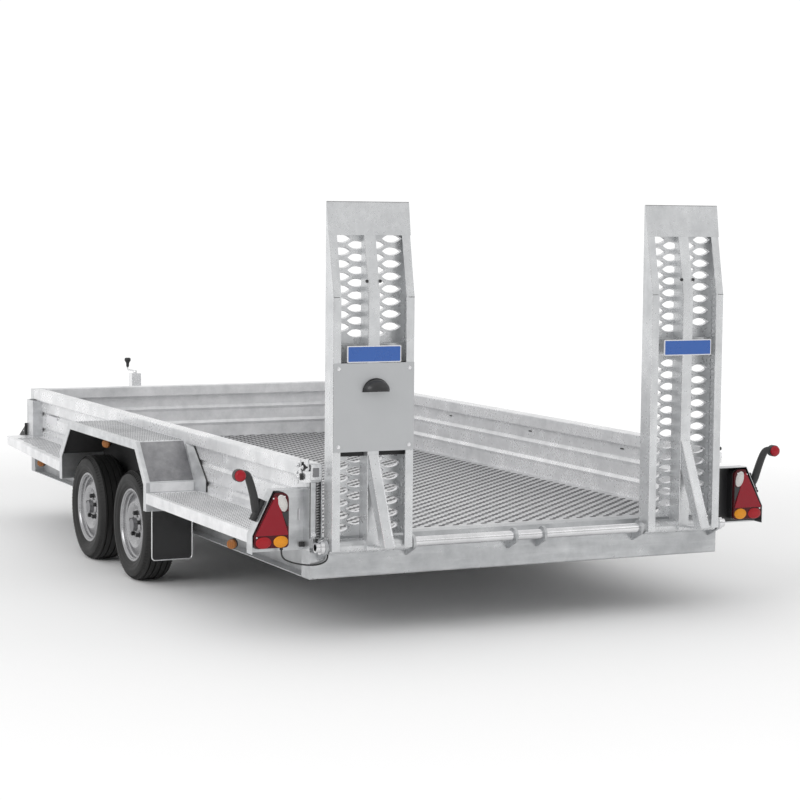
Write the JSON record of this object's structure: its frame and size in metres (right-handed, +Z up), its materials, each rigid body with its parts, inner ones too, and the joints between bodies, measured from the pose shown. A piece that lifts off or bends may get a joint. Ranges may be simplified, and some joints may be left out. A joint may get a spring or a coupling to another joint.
{
  "type": "tandem-axle plant trailer with two loading ramps",
  "caption": "Galvanised flatbed plant trailer with low side walls, tandem axles outside the bed, upright perforated loading ramps, A-frame drawbar and jockey wheel.",
  "frame": {"origin": "on the floor under the middle of the whole trailer's length and width", "axes": "+X forward towards the coupling, +Y to the left, +Z up"},
  "size_m": [5.866, 2.6278, 1.795],
  "materials": {
    "galvanised_steel": "hot-dip galvanised, mottled, satin",
    "spring_steel": "zinc plated",
    "lamp_plastic": "clear red lens",
    "black_rubber": "matt",
    "amber_plastic": "clear amber lens",
    "board_aluminium": "plain satin sheet",
    "smoked_plastic": "smoked cover",
    "cast_metal": "plain zinc-flaked casting",
    "tyre_rubber": "matt",
    "wheel_silver": "silver paint",
    "chock_plastic": "moulded, matt"
  },
  "bodies": {
    "trailer": {"chassis_rails": "galvanised_steel", "cross_members": "galvanised_steel", "rear_beam": "galvanised_steel", "hinge_bar": "galvanised_steel", "front_beam": "galvanised_steel", "deck": "galvanised_steel", "wall_left": "galvanised_steel", "wall_right": "galvanised_steel", "wall_front": "galvanised_steel", "front_posts": "galvanised_steel", "rear_posts": "galvanised_steel", "ramp_latches": "galvanised_steel", "wings": "galvanised_steel", "running_boards": "galvanised_steel", "lamp_plates": "galvanised_steel", "axle_rear": "galvanised_steel", "axle_front": "galvanised_steel", "drawbar_left": "galvanised_steel", "drawbar_right": "galvanised_steel", "nose_plate": "galvanised_steel", "jack_tube": "galvanised_steel", "chock_holders": "galvanised_steel", "ramp_springs": "spring_steel", "tail_lamps": "lamp_plastic", "marker_stalks": "black_rubber", "side_markers": "amber_plastic", "mud_flaps": "black_rubber", "overrun_housing": "cast_metal", "gaiter": "black_rubber", "coupling_head": "cast_metal", "handbrake_lever": "galvanised_steel", "jack_crank": "spring_steel", "wheel_chocks": "chock_plastic", "lamp_lead": "black_rubber", "lead_glands": "chock_plastic"},
    "wheel_rear_left": {"tyre_rear_left": "tyre_rubber", "rim_rear_left": "wheel_silver", "drum_rear_left": "cast_metal"},
    "wheel_rear_right": {"tyre_rear_right": "tyre_rubber", "rim_rear_right": "wheel_silver", "drum_rear_right": "cast_metal"},
    "wheel_front_left": {"tyre_front_left": "tyre_rubber", "rim_front_left": "wheel_silver", "drum_front_left": "cast_metal"},
    "wheel_front_right": {"tyre_front_right": "tyre_rubber", "rim_front_right": "wheel_silver", "drum_front_right": "cast_metal"},
    "ramp_left": {"ramp_frame_left": "galvanised_steel", "ramp_treads_left": "galvanised_steel", "ramp_foot_left": "galvanised_steel", "number_board": "board_aluminium", "number_lamp": "smoked_plastic"},
    "ramp_right": {"ramp_frame_right": "galvanised_steel", "ramp_treads_right": "galvanised_steel", "ramp_foot_right": "galvanised_steel"},
    "jack_leg": {"jack_leg": "galvanised_steel"},
    "jack_fork": {"jack_fork": "galvanised_steel"},
    "jack_wheel": {"jack_tyre": "tyre_rubber", "jack_rim": "wheel_silver"}
  },
  "joints": [
    {"name": "wheel_rear_left_spin", "type": "hinge", "parent": "trailer", "child": "wheel_rear_left", "pos_m": [-0.948, 1.107, 0.261], "axis": [0, 1, 0], "continuous": true},
    {"name": "wheel_rear_right_spin", "type": "hinge", "parent": "trailer", "child": "wheel_rear_right", "pos_m": [-0.948, -1.107, 0.261], "axis": [0, 1, 0], "continuous": true},
    {"name": "wheel_front_left_spin", "type": "hinge", "parent": "trailer", "child": "wheel_front_left", "pos_m": [-0.266, 1.107, 0.261], "axis": [0, 1, 0], "continuous": true},
    {"name": "wheel_front_right_spin", "type": "hinge", "parent": "trailer", "child": "wheel_front_right", "pos_m": [-0.266, -1.107, 0.261], "axis": [0, 1, 0], "continuous": true},
    {"name": "ramp_left_hinge", "type": "hinge", "parent": "trailer", "child": "ramp_left", "pos_m": [-2.719, 0.751, 0.394], "axis": [0, -1, 0], "range_deg": [0, 107]},
    {"name": "ramp_right_hinge", "type": "hinge", "parent": "trailer", "child": "ramp_right", "pos_m": [-2.719, -0.751, 0.394], "axis": [0, -1, 0], "range_deg": [0, 107]},
    {"name": "jack_slide", "type": "slide", "parent": "trailer", "child": "jack_leg", "axis": [0, 0, 1], "range_m": [0, 0.08]},
    {"name": "jack_swivel", "type": "hinge", "parent": "jack_leg", "child": "jack_fork", "pos_m": [2.204, 0.09, 0.212], "axis": [0, 0, 1], "continuous": true},
    {"name": "jack_wheel_spin", "type": "hinge", "parent": "jack_fork", "child": "jack_wheel", "pos_m": [2.162, 0.09, 0.1], "axis": [0, 1, 0], "continuous": true}
  ]
}
